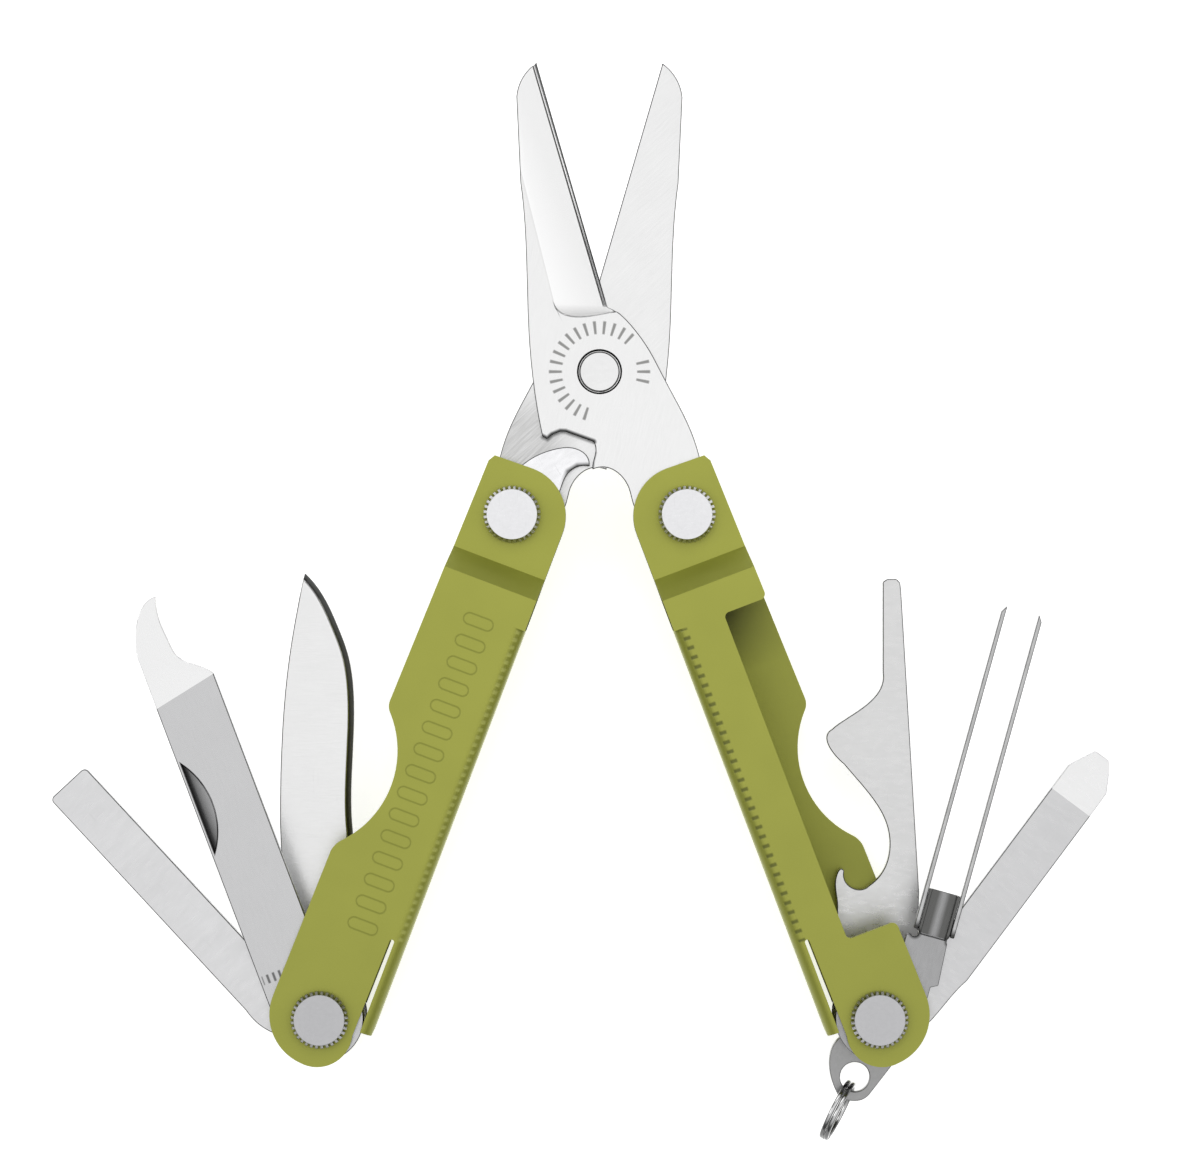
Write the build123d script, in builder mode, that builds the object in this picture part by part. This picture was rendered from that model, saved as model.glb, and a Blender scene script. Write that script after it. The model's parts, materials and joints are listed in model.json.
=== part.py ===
"""Folding pocket multi tool: spring-action scissors between two sheet-metal handles, each handle
carrying three folding tools on its bottom pin, with a lanyard tab and a split ring.

The tool lies flat: +Z up through its thickness, +Y from the handles' ends to the scissors' tips.
Millimetres. Places are measured from the scissors' rivet, then carried to the part's origin, the
middle of the tool's footprint at the height that it rests on, by PIVOT.
"""

import math
import os

from build123d import *

os.makedirs("parts", exist_ok=True)

# The rivet of the scissors in the part's frame.
PIVOT = (1.832, 23.0065, 6.12)

# Sheet-metal handles.
SHEET = 0.9
LEAN = 20.8                     # each handle's lean from +Y with the scissors sprung open
PIN_SPAN = 53.5                 # top pin to bottom pin
TOP_PIN = (8.7, -14.25)         # right-hand handle's top pin; the left one mirrors it
CHANNEL_IN = 4.2                # inside half width between the walls
EAR_IN = 1.5                    # inside half width between the ears on the scissors
JOGGLE = (5.4, 7.6)             # stretch below the top pin where the walls step outwards
FOLD_TOP = 10.4                 # the fold and the spine begin here, below the ears
SPINE_OUT = 5.35                # outside of the folded spine from the line of the pins
FOLD_OUT_R = 1.25               # radii of the fold between a wall and the spine
FOLD_IN_R = 0.3
FOLD_START = 3.5
FINGER_TOP = 43.8               # the spring finger is slit free of the walls below here
FINGER_END = 53.3
SLIT = (3.72, 4.18)             # the slit's sides from the line of the pins
HANDLE_END = 60.0               # the blank is longer than the trimmed handle
OPEN_EDGE = (4.1, 4.7, 5.15)    # open edge from the line of the pins: ear, notch and bottom
NOTCH = (22.1, 29.4, 36.8, 1.6)   # thumb notch: start, deepest, end, and where its floor lies
WINDOW = (10.5, 45.0, 0.15)     # window in the other wall: start, end and where it stops

# Pins and their knurled heads.
POST_R = 1.5
POST_BORE_R = 0.85
SCREW_R = 0.83
FIT = 0.05                      # radial running clearance of a moving piece on its pin
PRESSED = 0.02                  # radial clearance of a fixed piece on its pin
HEAD_R = 2.85
HEAD_H = 1.0
HEAD_RIM = 0.55                 # height of the upright rim below the head's cone
HEAD_TAPER = 40
TEETH = 32
TOOTH_GAP = (0.66, 0.25)

# Layers through the thickness, from the middle of the tool.
FRONT_BLADE = (0.03, 1.4)
OUTER_TOOL = (2.9, 4.1)
INNER_TOOL = (1.6, 2.8)
BACK_TOOL = (-4.1, -2.8)
TAB = (-0.6, 0.6)
SHIM = 0.08                     # end play between stacked pieces

# Scissors.
RIVET_R = 1.2
RIVET_HEAD_R = 2.04
RIVET_GAP = 0.13                # round the rivet's head in its counterbore
COLLAR_R = 1.7
COUNTERBORE_Z = 0.95
TANG_R = 4.3                    # tool tangs stay inside this, so they pass the spring finger


def spin(x, y, turn):
    """A point turned about the origin by degrees."""
    angle = math.radians(turn)
    return (x * math.cos(angle) - y * math.sin(angle), x * math.sin(angle) + y * math.cos(angle))


def flat(place=(0.0, 0.0), turn=0.0, face=1):
    """Plane at a place measured from the rivet, turned in the tool's plane; face -1 looks down."""
    across = spin(face, 0, turn * face)
    origin = (PIVOT[0] + place[0], PIVOT[1] + place[1], PIVOT[2])
    return Plane(origin=origin, x_dir=(across[0], across[1], 0), z_dir=(0, 0, face))


def bottom_pin(side):
    """Place of a handle's bottom pin; side -1 is the left handle and 1 the right."""
    drop = spin(0, -PIN_SPAN, side * LEAN)
    return (side * TOP_PIN[0] + drop[0], TOP_PIN[1] + drop[1])


HANDLE_LEFT = flat((-TOP_PIN[0], TOP_PIN[1]), -LEAN)
HANDLE_RIGHT = flat(TOP_PIN, -LEAN, face=-1)
LEFT_TOP = flat((-TOP_PIN[0], TOP_PIN[1]))
RIGHT_TOP = flat(TOP_PIN)
LEFT_BOTTOM = flat(bottom_pin(-1))
RIGHT_BOTTOM = flat(bottom_pin(1))
MIDDLE = flat()


def bore(plane, radius, low=-8.0, high=8.0):
    """Cuts a hole through the piece being built, along the plane's normal."""
    with Locations(plane.offset((low + high) / 2)):
        Cylinder(radius, high - low, mode=Mode.SUBTRACT)


# --- Handles -----------------------------------------------------------------------------------


def ear_outline():
    """From the open edge of the ear round the top pin to the spine's outside."""
    edge = OPEN_EDGE[0]
    Line((-edge, 4.2), (-edge + 0.4, 4.9))
    Line((-edge + 0.4, 4.9), (0.35, 5.0))
    ThreePointArc((0.35, 5.0), (0.35 + 5 * math.sin(0.8), 5 * math.cos(0.8)), (SPINE_OUT, 0))


def wall_end():
    """Round the bottom pin, from the spring finger and its slit to the open edge."""
    near, far = SLIT
    Line((SPINE_OUT, 0), (SPINE_OUT, -FINGER_END))
    Line((SPINE_OUT, -FINGER_END), (far, -FINGER_END))
    Line((far, -FINGER_END), (far, -FINGER_TOP))
    ThreePointArc((far, -FINGER_TOP), ((near + far) / 2, -FINGER_TOP + (far - near) / 2), (near, -FINGER_TOP))
    Line((near, -FINGER_TOP), (3.6, -PIN_SPAN - 0.4))
    ThreePointArc((3.6, -PIN_SPAN - 0.4), (2.95, -PIN_SPAN - 3.4), (-0.3, -PIN_SPAN - 4.7))
    ThreePointArc((-0.3, -PIN_SPAN - 4.7), (-4.2, -PIN_SPAN - 2.5), (-OPEN_EDGE[2], -PIN_SPAN + 0.6))


def notched_wall():
    """Outline of the wall with the thumb notch."""
    start, deep, end, floor = NOTCH
    ear_outline()
    wall_end()
    Line((-OPEN_EDGE[2], -PIN_SPAN + 0.6), (-4.9, -end - 0.7))
    ThreePointArc((-4.9, -end - 0.7), (-4.75, -end - 0.1), (-4.35, -end + 0.55))
    ThreePointArc((-4.35, -end + 0.55), (-floor, -deep), (-4.2, -start - 0.6))
    ThreePointArc((-4.2, -start - 0.6), (-4.6, -start), (-OPEN_EDGE[1], -start + 0.6))
    Line((-OPEN_EDGE[1], -start + 0.6), (-OPEN_EDGE[0], 4.2))


def windowed_wall():
    """Outline of the wall with the long window in its open edge."""
    start, end, stop = WINDOW
    ear_outline()
    wall_end()
    Line((-OPEN_EDGE[2], -PIN_SPAN + 0.6), (-5.0, -end - 0.6))
    ThreePointArc((-5.0, -end - 0.6), (-4.82, -end - 0.18), (-4.4, -end))
    Line((-4.4, -end), (stop - 0.5, -end))
    ThreePointArc((stop - 0.5, -end), (stop - 0.15, -end + 0.15), (stop, -end + 0.5))
    Line((stop, -end + 0.5), (stop, -start - 0.5))
    ThreePointArc((stop, -start - 0.5), (stop - 0.15, -start - 0.15), (stop - 0.5, -start))
    Line((stop - 0.5, -start), (-3.8, -start))
    ThreePointArc((-3.8, -start), (-4.22, -start + 0.18), (-4.4, -start + 0.6))
    Line((-4.4, -start + 0.6), (-OPEN_EDGE[0], 4.2))


def folded_handle(base):
    """One handle: two joggled walls, the spine that joins them and its spring finger."""
    ear_out = EAR_IN + SHEET
    channel_out = CHANNEL_IN + SHEET
    set_back = SHEET * math.tan(math.atan2(CHANNEL_IN - EAR_IN, JOGGLE[1] - JOGGLE[0]) / 2)
    side = Plane(origin=base.origin, x_dir=base.y_dir, z_dir=base.x_dir)
    fold_top = base.from_local_coords((0, -FOLD_TOP, 0))
    across_handle = Plane(origin=fold_top, x_dir=base.x_dir, z_dir=base.y_dir * -1)
    with BuildPart() as handle:
        with BuildSketch(side.offset(-6.0)):
            for up in (1, -1):
                with BuildLine():
                    Polyline(
                        (6, up * EAR_IN),
                        (-JOGGLE[0], up * EAR_IN),
                        (-JOGGLE[1], up * CHANNEL_IN),
                        (-HANDLE_END, up * CHANNEL_IN),
                        (-HANDLE_END, up * channel_out),
                        (-JOGGLE[1] + set_back, up * channel_out),
                        (-JOGGLE[0] + set_back, up * ear_out),
                        (6, up * ear_out),
                        close=True,
                    )
                make_face()
        extrude(amount=6.0 + SPINE_OUT)
        with BuildSketch(base.offset(-8)):
            with Locations((FOLD_START + 5, -FOLD_TOP - HANDLE_END / 2)):
                Rectangle(10, HANDLE_END)
        extrude(amount=16, mode=Mode.SUBTRACT)
        with BuildSketch(across_handle):
            with BuildLine():
                Polyline(
                    (FOLD_START, channel_out),
                    (SPINE_OUT, channel_out),
                    (SPINE_OUT, -channel_out),
                    (FOLD_START, -channel_out),
                    (FOLD_START, -CHANNEL_IN),
                    (SPINE_OUT - SHEET, -CHANNEL_IN),
                    (SPINE_OUT - SHEET, CHANNEL_IN),
                    (FOLD_START, CHANNEL_IN),
                    close=True,
                )
            make_face()
            fillet([v for v in vertices() if abs(v.X - SPINE_OUT) < 0.01], radius=FOLD_OUT_R)
            fillet([v for v in vertices() if abs(v.X - SPINE_OUT + SHEET) < 0.01], radius=FOLD_IN_R)
        extrude(amount=HANDLE_END - FOLD_TOP)
    with BuildPart() as keep:
        for outline, low in ((notched_wall, 0.0), (windowed_wall, -6.0)):
            with BuildSketch(base.offset(low)):
                with BuildLine():
                    outline()
                make_face()
            extrude(amount=6.0)
    with BuildPart() as folded:
        add(handle.part)
        add(keep.part, mode=Mode.INTERSECT)
        for along in (0.0, -PIN_SPAN):
            with BuildSketch(base.offset(-8)):
                with Locations((0, along)):
                    Circle(POST_R + PRESSED)
            extrude(amount=16, mode=Mode.SUBTRACT)
    return folded.part


with BuildPart() as left_handle:
    add(folded_handle(HANDLE_LEFT))
with BuildPart() as right_handle:
    add(folded_handle(HANDLE_RIGHT))


# --- Pins: a post with one knurled head, closed by a screw with the other ------------------------


def knurled_head(plane, low, up):
    """Head with a knurled rim and a coned crown, standing on the plane's height low towards up."""
    with BuildPart() as head:
        with BuildSketch(plane.offset(low)):
            Circle(HEAD_R)
        extrude(amount=up * HEAD_RIM)
        with BuildSketch(plane.offset(low + up * HEAD_RIM)):
            Circle(HEAD_R)
        extrude(amount=up * (HEAD_H - HEAD_RIM), taper=HEAD_TAPER)
        with BuildSketch(plane.offset(low)):
            with PolarLocations(HEAD_R, TEETH):
                Rectangle(*TOOTH_GAP)
        extrude(amount=up * HEAD_H, mode=Mode.SUBTRACT)
    return head.part


def post(plane, outside):
    """Hollow post with its knurled head against the back of the handle."""
    with BuildPart() as built:
        add(knurled_head(plane, -outside - PRESSED, -1))
        with BuildSketch(plane.offset(-outside - PRESSED)):
            Circle(POST_R)
        extrude(amount=2 * outside)
        bore(plane, POST_BORE_R, -outside + 0.6, outside + 1)
    return built.part


def screw(plane, outside):
    """Screw with its knurled head against the front of the handle and its shank in the post."""
    with BuildPart() as built:
        add(knurled_head(plane, outside + PRESSED, 1))
        with BuildSketch(plane.offset(-outside + 1.2)):
            Circle(SCREW_R)
        extrude(amount=2 * outside - 1.2 + PRESSED)
    return built.part


def washer(plane, outer, inner, low, high):
    """Plain ring round a pin."""
    with BuildPart() as built:
        with BuildSketch(plane.offset(low)):
            Circle(outer)
            Circle(inner, mode=Mode.SUBTRACT)
        extrude(amount=high - low)
    return built.part


EAR_OUT = EAR_IN + SHEET
CHANNEL_OUT = CHANNEL_IN + SHEET

with BuildPart() as left_top_post:
    add(post(LEFT_TOP, EAR_OUT))
with BuildPart() as left_top_screw:
    add(screw(LEFT_TOP, EAR_OUT))
with BuildPart() as right_top_post:
    add(post(RIGHT_TOP, EAR_OUT))
with BuildPart() as right_top_screw:
    add(screw(RIGHT_TOP, EAR_OUT))
with BuildPart() as left_bottom_post:
    add(post(LEFT_BOTTOM, CHANNEL_OUT))
with BuildPart() as left_bottom_screw:
    add(screw(LEFT_BOTTOM, CHANNEL_OUT))
with BuildPart() as right_bottom_post:
    add(post(RIGHT_BOTTOM, CHANNEL_OUT))
with BuildPart() as right_bottom_screw:
    add(screw(RIGHT_BOTTOM, CHANNEL_OUT))

SPACER_R = 3.2
with BuildPart() as left_tool_spacer:
    add(washer(LEFT_BOTTOM, SPACER_R, POST_R + PRESSED, BACK_TOOL[1] + SHIM, INNER_TOOL[0] - SHIM))
with BuildPart() as right_front_spacer:
    add(washer(RIGHT_BOTTOM, SPACER_R, POST_R + PRESSED, TAB[1] + SHIM, INNER_TOOL[0] - SHIM))
with BuildPart() as right_back_spacer:
    add(washer(RIGHT_BOTTOM, SPACER_R, POST_R + PRESSED, BACK_TOOL[1] + SHIM, TAB[0] - SHIM))
with BuildPart() as right_top_spacer:
    add(washer(RIGHT_TOP, SPACER_R, POST_R + PRESSED, -FRONT_BLADE[1], -FRONT_BLADE[0]))


# --- Scissors ------------------------------------------------------------------------------------


def scissor_half(face):
    """One half of the scissors: blade, boss and lever. Face -1 gives the half behind."""
    base = flat(face=face)
    low, high = FRONT_BLADE
    facet = (-4.9, 7.8), (-7.6, 18.5)
    with BuildPart() as half:
        with BuildSketch(base.offset(low)):
            with BuildLine():
                Line((-6.3, 30.9), (0.8, 6.5))
                Spline(
                    (0.8, 6.5), (1.6, 6.1), (3.3, 4.5), (4.9, 2.3), (6.4, -0.5), (9.1, -5.8), (10.2, -9.6)
                )
                Spline((10.2, -9.6), (12.0, -12.2), (12.7, -14.6))
                ThreePointArc((12.7, -14.6), (8.7, -18.3), (4.7, -14.6))
                Spline((4.7, -14.6), (3.5, -13.6), (2.9, -11.6), (1.35, -9.8), (-0.7, -9.75))
                Spline((-0.7, -9.75), (-0.62, -8.9), (-0.42, -8.1), (-0.62, -7.0))
                Polyline((-0.62, -7.0), (-3.4, -6.0), (-3.9, -5.98), (-4.7, -6.3), (-5.2, -6.75), (-5.7, -6.5))
                Spline((-5.7, -6.5), (-6.6, -1.3), (-7.0, 2.7), (-7.4, 13.4), (-7.9, 18.9))
                Line((-7.9, 18.9), (-8.3, 27.5))
                ThreePointArc((-8.3, 27.5), (-7.75, 29.3), (-6.3, 30.9))
            make_face()
        extrude(amount=high - low)
        bore(base, COLLAR_R + FIT)
        bore(base, RIVET_HEAD_R + RIVET_GAP, COUNTERBORE_Z, 3)
        bore(base.shift_origin(base.from_local_coords((TOP_PIN[0], TOP_PIN[1], 0))), POST_R + FIT)
    with BuildPart() as grind:
        with BuildSketch(base):
            with BuildLine():
                Polyline(facet[0], facet[1], (-10.7, 31.0), (-5.0, 33.0), (4.0, 6.7), (1.6, 6.0))
                Spline((1.6, 6.0), (-1.0, 5.55), (-3.6, 5.75), facet[0])
            make_face()
        extrude(amount=3)
        split(bisect_by=ground_plane(base, facet, high, 5.1, 0.45), keep=Keep.TOP)
    with BuildPart() as bevel:
        with BuildSketch(base):
            with BuildLine():
                Polyline((-6.7, 30.8), (0.4, 6.6), (3.0, 6.6), (-3.9, 30.8), close=True)
            make_face()
        extrude(amount=3)
        split(bisect_by=ground_plane(base, ((0.4, 6.6), (-6.7, 30.8)), 0.47, 0.4, 0.12), keep=Keep.TOP)
    with BuildPart() as ground:
        add(half.part)
        add(grind.part, mode=Mode.SUBTRACT)
        add(bevel.part, mode=Mode.SUBTRACT)
    return ground.part


def ground_plane(base, line, height, across, low):
    """Plane through a line at one height that falls to low at a distance across it."""
    (x1, y1), (x2, y2) = line
    length = math.hypot(x2 - x1, y2 - y1)
    side = ((y2 - y1) / length, -(x2 - x1) / length)
    start = Vector(x1, y1, height)
    up = Vector(x2 - x1, y2 - y1, 0)
    fall = Vector(side[0] * across, side[1] * across, low - height)
    normal = fall.cross(up)
    if normal.Z < 0:
        normal = normal * -1
    local = Plane(origin=start, x_dir=up, z_dir=normal)
    return Plane(
        origin=base.from_local_coords(local.origin),
        x_dir=base.from_local_coords(local.origin + local.x_dir) - base.from_local_coords(local.origin),
        z_dir=base.from_local_coords(local.origin + local.z_dir) - base.from_local_coords(local.origin),
    )


def tip_wedge(base, line, top, drop, across, reach):
    """What grinding takes off a tip beyond a line: from the tool's top face down by drop."""
    (x1, y1), (x2, y2) = line
    with BuildPart() as wedge:
        with BuildSketch(base):
            with BuildLine():
                Polyline((x1, y1), (x2, y2), (x2, y2 + reach), (x1, y1 + reach), close=True)
            make_face()
        extrude(amount=top + drop)
        split(bisect_by=ground_plane(base, line, top, across, top - drop), keep=Keep.TOP)
    return wedge.part


with BuildPart() as front_blade:
    add(scissor_half(1))
with BuildPart() as back_blade:
    add(scissor_half(-1))

with BuildPart() as scissor_rivet:
    with BuildSketch(MIDDLE.offset(-COUNTERBORE_Z - FIT)):
        Circle(RIVET_R)
    extrude(amount=2 * (COUNTERBORE_Z + FIT))
    for up in (1, -1):
        with BuildSketch(MIDDLE.offset(up * (COUNTERBORE_Z + FIT))):
            Circle(RIVET_HEAD_R)
        extrude(amount=up * (EAR_IN - COUNTERBORE_Z - FIT), taper=8)

with BuildPart() as pivot_collar:
    add(washer(MIDDLE, COLLAR_R, RIVET_R + FIT, -COUNTERBORE_Z, COUNTERBORE_Z))

# The spring bears on the front half's ledge and pushes the halves apart.
with BuildPart() as scissor_spring:
    with BuildSketch(LEFT_TOP.offset(0.15)):
        with BuildLine():
            ThreePointArc((3.1, 0.6), (-2.2, -2.26), (-0.6, 3.1))
            Spline((-0.6, 3.1), (1.09, 5.06), (2.69, 6.04), (4.2, 6.55), (5.73, 6.72), (7.0, 6.3))
            Spline((7.0, 6.3), (7.6, 5.6), (7.7, 4.8))
            Spline((7.7, 4.8), (6.5, 4.75), (5.55, 4.08), (4.75, 2.3), (3.1, 0.6))
        make_face()
        Circle(POST_R + FIT, mode=Mode.SUBTRACT)
    extrude(amount=FRONT_BLADE[1] - 0.25)


# --- Tools: each in its own layer on a bottom pin ------------------------------------------------


def tool_blank(plane, layer):
    """Raises the pending outline through its layer, with a running hole on the pin."""
    extrude(amount=layer[1] - layer[0])
    bore(plane, POST_R + FIT)


# Knife: straight-backed blade, its curved edge on the right ground to a narrow bevel.
KNIFE_BEVEL = (0.55, 0.8)       # across the face and down the edge
with BuildPart() as knife_blade:
    with BuildSketch(LEFT_BOTTOM.offset(BACK_TOOL[0])):
        with BuildLine():
            Line((3.0, 3.05), (2.85, 18.2))
            Spline((2.85, 18.2), (2.95, 31.6), (2.3, 36.2), (1.3, 38.9), (-0.2, 42.0), (-1.98, 44.2))
            Spline((-1.98, 44.2), (-2.73, 40.5), (-3.54, 35.6), (-4.34, 25.6), (-4.44, 18.9))
            Line((-4.44, 18.9), (-3.7, 2.2))
            ThreePointArc((-3.7, 2.2), (0, -TANG_R), (3.0, 3.05))
        make_face()
    tool_blank(LEFT_BOTTOM, BACK_TOOL)
    upper = knife_blade.faces().filter_by(Plane.XY).sort_by(Axis.Z)[-1]
    right_side = upper.edges().filter_by(lambda e: e.center().X > LEFT_BOTTOM.origin.X + 1.0)
    cutting = right_side.filter_by(lambda e: e.center().Y > LEFT_BOTTOM.origin.Y + 5)
    chamfer(cutting, length=KNIFE_BEVEL[0], length2=KNIFE_BEVEL[1], reference=upper)

# Nail file: a flat file with a ground, hooked cleaning tip and a crescent nail nick.
FILE_TURN = 20.7
NICK = (-4.0, -2.45)            # the nick's straight side and the top of its curve
NICK_ENDS = (19.0, 28.5)
NICK_DEPTH = (0.7, 0.1)         # at the straight side and at the curve
file_plane = flat(bottom_pin(-1), FILE_TURN)
with BuildPart() as nick:
    with BuildSketch(file_plane):
        with BuildLine():
            ThreePointArc((NICK[0], NICK_ENDS[0]), (NICK[1], sum(NICK_ENDS) / 2), (NICK[0], NICK_ENDS[1]))
            Line((NICK[0], NICK_ENDS[1]), (NICK[0], NICK_ENDS[0]))
        make_face()
    extrude(amount=OUTER_TOOL[1] + NICK_DEPTH[0])
    split(
        bisect_by=ground_plane(
            file_plane,
            ((NICK[1], NICK_ENDS[1]), (NICK[1], NICK_ENDS[0])),
            OUTER_TOOL[1] - NICK_DEPTH[1],
            NICK[1] - NICK[0],
            OUTER_TOOL[1] - NICK_DEPTH[0],
        ),
        keep=Keep.TOP,
    )
with BuildPart() as nail_file:
    with BuildSketch(file_plane.offset(OUTER_TOOL[0])):
        with BuildLine():
            Line((2.2, 3.69), (2.2, 35.8))
            Spline((2.2, 35.8), (1.1, 37.0), (-0.5, 38.5), (-0.9, 40.7), (-1.0, 42.1), (-0.5, 45.0))
            Spline((-0.5, 45.0), (-1.9, 44.6), (-3.35, 42.9), (-4.05, 41.4), (-4.35, 39.0))
            Line((-4.35, 39.0), (-4.28, 0.4))
            ThreePointArc((-4.28, 0.4), (1.5, -4.03), (2.2, 3.69))
        make_face()
    tool_blank(file_plane, OUTER_TOOL)
    add(nick.part, mode=Mode.SUBTRACT)
    add(tip_wedge(file_plane, ((2.6, 35.85), (-4.8, 34.35)), OUTER_TOOL[1], 0.5, 9.5, 14), mode=Mode.SUBTRACT)

# Flat screwdriver of the left handle.
DRIVER_TURN = 42.85
driver_plane = flat(bottom_pin(-1), DRIVER_TURN)
with BuildPart() as flat_driver:
    with BuildSketch(driver_plane.offset(INNER_TOOL[0])):
        with BuildLine():
            Line((-0.3, 4.29), (-0.3, 33.7))
            ThreePointArc((-0.3, 33.7), (-0.45, 34.05), (-0.8, 34.2))
            Line((-0.8, 34.2), (-4.5, 34.2))
            ThreePointArc((-4.5, 34.2), (-4.85, 34.05), (-5.0, 33.7))
            Line((-5.0, 33.7), (-5.0, 5.6))
            Spline((-5.0, 5.6), (-4.75, 2.6), (-4.1, 1.3))
            ThreePointArc((-4.1, 1.3), (1.4, -4.06), (-0.3, 4.29))
        make_face()
    tool_blank(driver_plane, INNER_TOOL)

# Cross-head driver of the right handle: a flat stem with a ground, stepped and pointed tip.
CROSS_TURN = -36.8
cross_plane = flat(bottom_pin(1), CROSS_TURN)
with BuildPart() as phillips_driver:
    with BuildSketch(cross_plane.offset(INNER_TOOL[0])):
        with BuildLine():
            Polyline((0.15, 4.3), (0.15, 31.4), (0.45, 32.1), (1.5, 34.2), (3.2, 34.2), (3.9, 33.2))
            Polyline((3.9, 33.2), (4.9, 31.4), (4.9, 8.2))
            Spline((4.9, 8.2), (4.6, 5.9), (4.45, 3.2), (4.1, 1.3))
            ThreePointArc((4.1, 1.3), (-1.4, -4.06), (0.15, 4.3))
        make_face()
    tool_blank(cross_plane, INNER_TOOL)
    add(tip_wedge(cross_plane, ((5.3, 28.6), (-0.3, 28.6)), INNER_TOOL[1], 0.35, 5.8, 8), mode=Mode.SUBTRACT)

# Tweezers: a plate on the pin, folded into a channel that carries two sprung arms.
TWEEZER_TURN = -15.5
ARM_THICK = 0.43
ARM_PLACES = (1.15, 4.85)
ARM_START = 9.6
ARM_NOTCH_R = 0.42              # round notches in the plate below the arms
ARM_END = 42.85
TIP_CUT = 0.7                   # how much lower one side of a tip is cut
CRADLE = (9.2, 13.8)
tweezer_plane = flat(bottom_pin(1), TWEEZER_TURN)
tweezer_middle = sum(ARM_PLACES) / 2
CRADLE_WALL = 0.3
CRADLE_OUT = (ARM_PLACES[1] - ARM_PLACES[0]) / 2 - ARM_THICK / 2 - 0.06
cradle_left = tweezer_middle - CRADLE_OUT
cradle_right = tweezer_middle + CRADLE_OUT
with BuildPart() as tweezer_base:
    with BuildSketch(tweezer_plane.offset(OUTER_TOOL[0])):
        with BuildLine():
            Line((0.4, 4.28), (0.4, CRADLE[0] - 0.4))
            Line((0.4, CRADLE[0] - 0.4), (cradle_left, CRADLE[0]))
            Line((cradle_left, CRADLE[0]), (cradle_left, CRADLE[1]))
            Line((cradle_left, CRADLE[1]), (cradle_right, CRADLE[1]))
            Line((cradle_right, CRADLE[1]), (cradle_right, CRADLE[0]))
            Polyline((cradle_right, CRADLE[0]), (4.56, 8.7), (4.8, 4.7), (4.1, 4.35), (4.1, 1.3))
            ThreePointArc((4.1, 1.3), (-1.4, -4.06), (0.4, 4.28))
        make_face()
        with Locations((ARM_PLACES[0], CRADLE[0]), (ARM_PLACES[1], CRADLE[0])):
            Circle(ARM_NOTCH_R, mode=Mode.SUBTRACT)
    tool_blank(tweezer_plane, OUTER_TOOL)
    with BuildSketch(tweezer_plane.offset(OUTER_TOOL[0] + 0.35)):
        with Locations((tweezer_middle, CRADLE[0] + 3.2)):
            Rectangle(2 * CRADLE_OUT - 2 * CRADLE_WALL, 6.4)
    extrude(amount=3, mode=Mode.SUBTRACT)


def tweezer_arm(place, towards):
    """Spring-steel arm on edge, thickest at its root and cut to an oblique tip that leans in."""
    low, high = OUTER_TOOL
    half = ARM_THICK / 2
    right_end = ARM_END - TIP_CUT * (1 + towards) / 2
    left_end = ARM_END - TIP_CUT * (1 - towards) / 2
    with BuildPart() as arm:
        with BuildSketch(tweezer_plane.offset(low)):
            with BuildLine():
                Polyline(
                    (place - half, ARM_START), (place + half, ARM_START),
                    (place + half, right_end), (place - half, left_end),
                    close=True,
                )
            make_face()
        extrude(amount=high - low)
    return arm.part


with BuildPart() as tweezer_arm_left:
    add(tweezer_arm(ARM_PLACES[0], -1))
with BuildPart() as tweezer_arm_right:
    add(tweezer_arm(ARM_PLACES[1], 1))

# Bottle opener with a small screwdriver tip: a hooked notch in its left side.
with BuildPart() as bottle_opener:
    with BuildSketch(RIGHT_BOTTOM.offset(BACK_TOOL[0])):
        with BuildLine():
            Polyline((4.15, 1.15), (4.45, 12.1), (2.65, 42.3), (2.55, 43.2), (2.2, 43.6), (1.25, 43.6))
            Polyline((1.25, 43.6), (0.8, 43.3), (0.8, 34.2))
            Spline((0.8, 34.2), (0.65, 32.8), (-0.05, 31.7), (-4.3, 28.5))
            Spline((-4.3, 28.5), (-4.85, 27.8), (-4.7, 26.9), (-3.15, 25.0))
            Spline((-3.15, 25.0), (-0.6, 22.0), (1.25, 18.7), (1.25, 15.25), (-0.6, 12.75))
            Spline((-0.6, 12.75), (-1.6, 12.35), (-2.6, 12.75), (-3.07, 14.25))
            Spline((-3.07, 14.25), (-3.43, 14.45), (-3.85, 13.85), (-3.95, 12.15), (-3.8, 10.4))
            Line((-3.8, 10.4), (-3.75, 2.1))
            ThreePointArc((-3.75, 2.1), (0, -TANG_R), (4.15, 1.15))
        make_face()
    tool_blank(RIGHT_BOTTOM, BACK_TOOL)

# Lanyard tab and the split ring through its eye.
EYE = (-2.2, -6.15)
EYE_R = 1.48
with BuildPart() as lanyard_tab:
    with BuildSketch(RIGHT_BOTTOM.offset(TAB[0])):
        with BuildLine():
            Line((3.06, -3.0), (-0.7, -7.85))
            ThreePointArc((-0.7, -7.85), (-1.4, -8.4), (-2.2, -8.55))
            ThreePointArc((-2.2, -8.55), (-3.05, -8.45), (-3.8, -8.1))
            Spline((-3.8, -8.1), (-4.55, -6.3), (-4.7, -4.1), (-4.4, -3.1), (-3.7, -2.2))
            ThreePointArc((-3.7, -2.2), (1.5, 4.03), (3.06, -3.0))
        make_face()
        with Locations(EYE):
            Circle(EYE_R, mode=Mode.SUBTRACT)
        Circle(POST_R + FIT, mode=Mode.SUBTRACT)
    extrude(amount=TAB[1] - TAB[0])

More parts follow.
